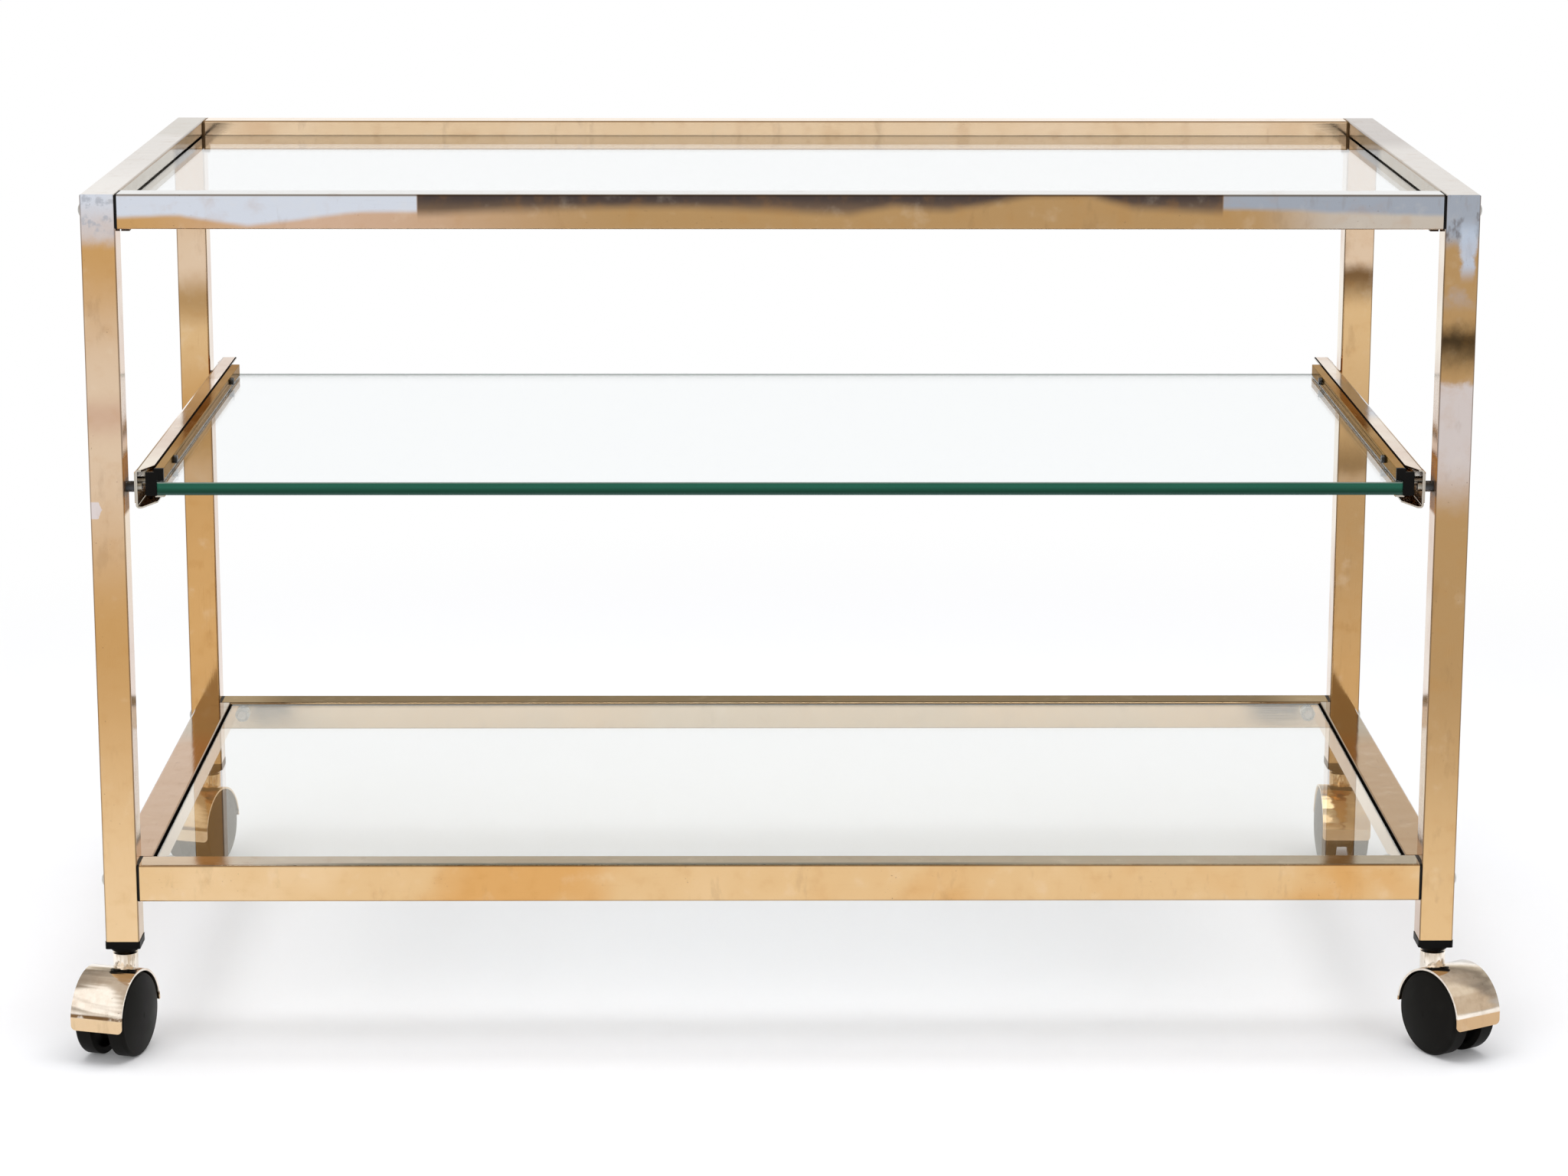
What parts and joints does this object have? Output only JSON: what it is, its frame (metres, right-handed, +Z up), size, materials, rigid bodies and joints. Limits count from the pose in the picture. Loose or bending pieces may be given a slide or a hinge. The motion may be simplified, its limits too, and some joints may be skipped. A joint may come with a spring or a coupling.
{
  "type": "dessert trolley",
  "caption": "Square-tube serving trolley with three glass shelves, the middle one on pull-out roller slides, on hooded twin-wheel swivel casters.",
  "frame": {"origin": "on the floor under the middle of the whole object's bounding box", "axes": "+X to the right along the width, +Y from front to back, +Z up; the shelf pulls out towards -Y"},
  "size_m": [1.0551, 0.5675, 0.64],
  "materials": {
    "brass": "polished, worn plating",
    "clear_glass": "polished, clear",
    "shelf_glass": "polished, green at the edge",
    "clear_rubber": "clear soft plastic",
    "brown_nylon": "moulded",
    "slide_brass": "polished, brass-plated sheet",
    "bright_steel": "bright",
    "wheel_black": "satin black",
    "black_nylon": "moulded"
  },
  "bodies": {
    "frame": {"front_left_leg": "brass", "front_right_leg": "brass", "back_left_leg": "brass", "back_right_leg": "brass", "top_front_rail": "brass", "top_back_rail": "brass", "top_left_rail": "brass", "top_right_rail": "brass", "lower_front_rail": "brass", "lower_back_rail": "brass", "lower_left_rail": "brass", "lower_right_rail": "brass", "rail_end_plugs": "black_nylon", "frame_bolts": "bright_steel", "leg_end_caps": "black_nylon", "top_glass": "clear_glass", "top_support_lugs": "brown_nylon", "lower_glass": "clear_glass", "lower_support_pins": "bright_steel", "pin_sleeves": "clear_rubber", "left_outer_channel": "slide_brass", "right_outer_channel": "slide_brass", "slide_plates": "slide_brass", "slide_spacers": "bright_steel", "slide_screws": "bright_steel", "front_roller_studs": "bright_steel", "front_left_stem": "bright_steel", "front_right_stem": "bright_steel", "back_left_stem": "bright_steel", "back_right_stem": "bright_steel"},
    "shelf": {"left_moving_rail": "slide_brass", "right_moving_rail": "slide_brass", "moving_rail_caps": "black_nylon", "shelf_glass": "shelf_glass", "shelf_gaskets": "clear_rubber", "shelf_grip_screws": "bright_steel", "rear_roller_studs": "bright_steel"},
    "front_left_roller": {"front_left_roller": "black_nylon"},
    "rear_left_roller": {"rear_left_roller": "black_nylon"},
    "front_right_roller": {"front_right_roller": "black_nylon"},
    "rear_right_roller": {"rear_right_roller": "black_nylon"},
    "front_left_caster": {"front_left_hood": "brass", "front_left_carrier": "black_nylon", "front_left_axle": "bright_steel"},
    "front_left_wheel_a": {"front_left_wheel_a": "wheel_black"},
    "front_left_wheel_b": {"front_left_wheel_b": "wheel_black"},
    "front_right_caster": {"front_right_hood": "brass", "front_right_carrier": "black_nylon", "front_right_axle": "bright_steel"},
    "front_right_wheel_a": {"front_right_wheel_a": "wheel_black"},
    "front_right_wheel_b": {"front_right_wheel_b": "wheel_black"},
    "back_left_caster": {"back_left_hood": "brass", "back_left_carrier": "black_nylon", "back_left_axle": "bright_steel"},
    "back_left_wheel_a": {"back_left_wheel_a": "wheel_black"},
    "back_left_wheel_b": {"back_left_wheel_b": "wheel_black"},
    "back_right_caster": {"back_right_hood": "brass", "back_right_carrier": "black_nylon", "back_right_axle": "bright_steel"},
    "back_right_wheel_a": {"back_right_wheel_a": "wheel_black"},
    "back_right_wheel_b": {"back_right_wheel_b": "wheel_black"}
  },
  "joints": [
    {"name": "shelf_slide", "type": "slide", "parent": "frame", "child": "shelf", "axis": [0, -1, 0], "range_m": [0, 0.34]},
    {"name": "front_left_roller_spin", "type": "hinge", "parent": "frame", "child": "front_left_roller", "pos_m": [-0.45775, -0.21282, 0.42715], "axis": [1, 0, 0], "continuous": true},
    {"name": "rear_left_roller_spin", "type": "hinge", "parent": "shelf", "child": "rear_left_roller", "pos_m": [-0.45775, 0.20868, 0.42575], "axis": [1, 0, 0], "continuous": true},
    {"name": "front_right_roller_spin", "type": "hinge", "parent": "frame", "child": "front_right_roller", "pos_m": [0.45775, -0.21282, 0.42715], "axis": [1, 0, 0], "continuous": true},
    {"name": "rear_right_roller_spin", "type": "hinge", "parent": "shelf", "child": "rear_right_roller", "pos_m": [0.45775, 0.20868, 0.42575], "axis": [1, 0, 0], "continuous": true},
    {"name": "front_left_swivel", "type": "hinge", "parent": "frame", "child": "front_left_caster", "pos_m": [-0.4875, -0.22582, 0.074], "axis": [0, 0, 1], "continuous": true},
    {"name": "front_left_wheel_a_spin", "type": "hinge", "parent": "front_left_caster", "child": "front_left_wheel_a", "pos_m": [-0.50584, -0.24021, 0.0315], "axis": [0.9588, -0.284, 0], "continuous": true},
    {"name": "front_left_wheel_b_spin", "type": "hinge", "parent": "front_left_caster", "child": "front_left_wheel_b", "pos_m": [-0.47995, -0.24788, 0.0315], "axis": [0.9588, -0.284, 0], "continuous": true},
    {"name": "front_right_swivel", "type": "hinge", "parent": "frame", "child": "front_right_caster", "pos_m": [0.4875, -0.22582, 0.074], "axis": [0, 0, 1], "continuous": true},
    {"name": "front_right_wheel_a_spin", "type": "hinge", "parent": "front_right_caster", "child": "front_right_wheel_a", "pos_m": [0.48571, -0.24906, 0.0315], "axis": [0.8572, 0.515, 0], "continuous": true},
    {"name": "front_right_wheel_b_spin", "type": "hinge", "parent": "front_right_caster", "child": "front_right_wheel_b", "pos_m": [0.50886, -0.23516, 0.0315], "axis": [0.8572, 0.515, 0], "continuous": true},
    {"name": "back_left_swivel", "type": "hinge", "parent": "frame", "child": "back_left_caster", "pos_m": [-0.4875, 0.26418, 0.074], "axis": [0, 0, 1], "continuous": true},
    {"name": "back_left_wheel_a_spin", "type": "hinge", "parent": "back_left_caster", "child": "back_left_wheel_a", "pos_m": [-0.50584, 0.24979, 0.0315], "axis": [0.9588, -0.284, 0], "continuous": true},
    {"name": "back_left_wheel_b_spin", "type": "hinge", "parent": "back_left_caster", "child": "back_left_wheel_b", "pos_m": [-0.47995, 0.24213, 0.0315], "axis": [0.9588, -0.284, 0], "continuous": true},
    {"name": "back_right_swivel", "type": "hinge", "parent": "frame", "child": "back_right_caster", "pos_m": [0.4875, 0.26418, 0.074], "axis": [0, 0, 1], "continuous": true},
    {"name": "back_right_wheel_a_spin", "type": "hinge", "parent": "back_right_caster", "child": "back_right_wheel_a", "pos_m": [0.47367, 0.24541, 0.0315], "axis": [0.9998, -0.0175, 0], "continuous": true},
    {"name": "back_right_wheel_b_spin", "type": "hinge", "parent": "back_right_caster", "child": "back_right_wheel_b", "pos_m": [0.50067, 0.24494, 0.0315], "axis": [0.9998, -0.0175, 0], "continuous": true}
  ],
  "couplings": [
    {"joint": "front_left_roller_spin", "follows": "shelf_slide", "rad_per_m": 111.11},
    {"joint": "rear_left_roller_spin", "follows": "shelf_slide", "rad_per_m": 80},
    {"joint": "front_right_roller_spin", "follows": "shelf_slide", "rad_per_m": 111.11},
    {"joint": "rear_right_roller_spin", "follows": "shelf_slide", "rad_per_m": 80}
  ]
}
